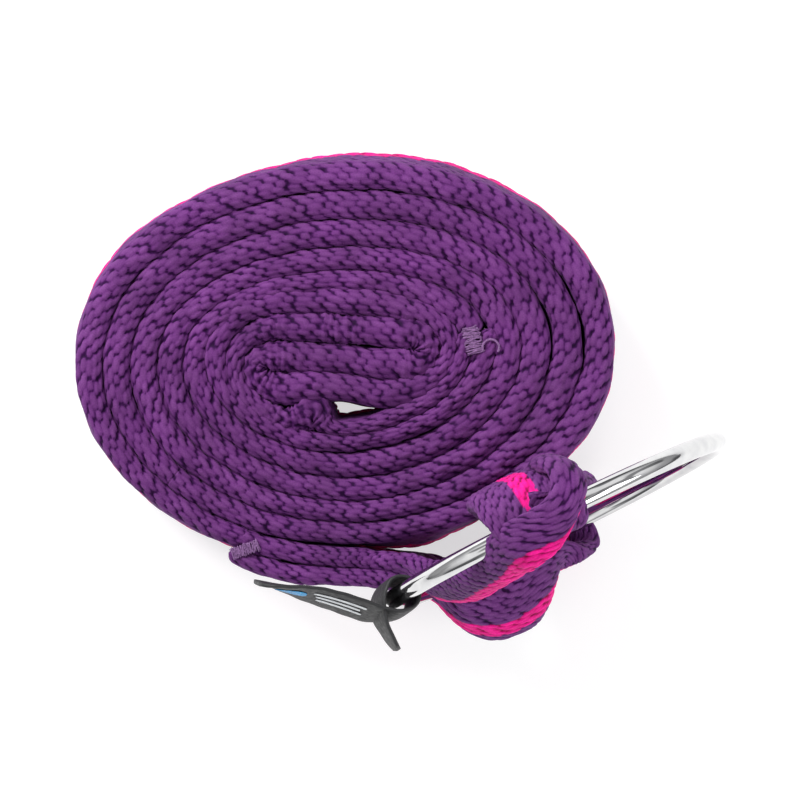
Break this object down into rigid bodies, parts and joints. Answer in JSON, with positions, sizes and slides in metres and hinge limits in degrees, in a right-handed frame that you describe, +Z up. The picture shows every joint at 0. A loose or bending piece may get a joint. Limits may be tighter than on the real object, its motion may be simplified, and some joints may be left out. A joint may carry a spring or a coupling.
{
  "type": "stretching strap",
  "caption": "Soft tubular knitted stretching strap, rolled up on edge, with a sewn foot loop inside the roll and a steel ring with a small rubber tag hitched to its outer end.",
  "frame": {"origin": "on the floor under the middle of the roll", "axes": "+Z up, the strap standing on its edges; +X along the long axis of the oval roll, towards the side the ring is on; -Y towards the ring and tag"},
  "size_m": [0.1709, 0.1256, 0.1132],
  "materials": {
    "knit": "chunky knit, purple with a pink stripe along its middle",
    "stitching": "pale lilac thread",
    "steel": "polished",
    "rubber": "satin moulded",
    "tag_print_blue": "satin moulded",
    "tag_print_pale": "satin moulded"
  },
  "bodies": {
    "strap": {"strap_roll": "knit", "foot_loop": "knit", "ring_loop": "knit", "hitch_wrap": "knit", "hitch_band": "knit", "hitch_upper_strand": "knit", "hitch_lower_strand": "knit", "foot_loop_bartack": "stitching", "ring_loop_bartack": "stitching", "thread_tail": "stitching"},
    "ring": {"ring": "steel"},
    "tag": {"tag_band": "rubber", "tag_badge": "tag_print_blue", "tag_stripes": "tag_print_pale"}
  },
  "joints": [
    {"name": "ring_turn", "type": "hinge", "parent": "strap", "child": "ring", "pos_m": [0.0541, -0.0435, 0.05698], "axis": [-0.4379, 0.8939, -0.0958], "continuous": true},
    {"name": "tag_swing", "type": "hinge", "parent": "strap", "child": "tag", "pos_m": [0.01316, -0.06209, 0.07066], "axis": [0.2222, 0.2109, 0.9519], "range_deg": [0, 45]}
  ]
}
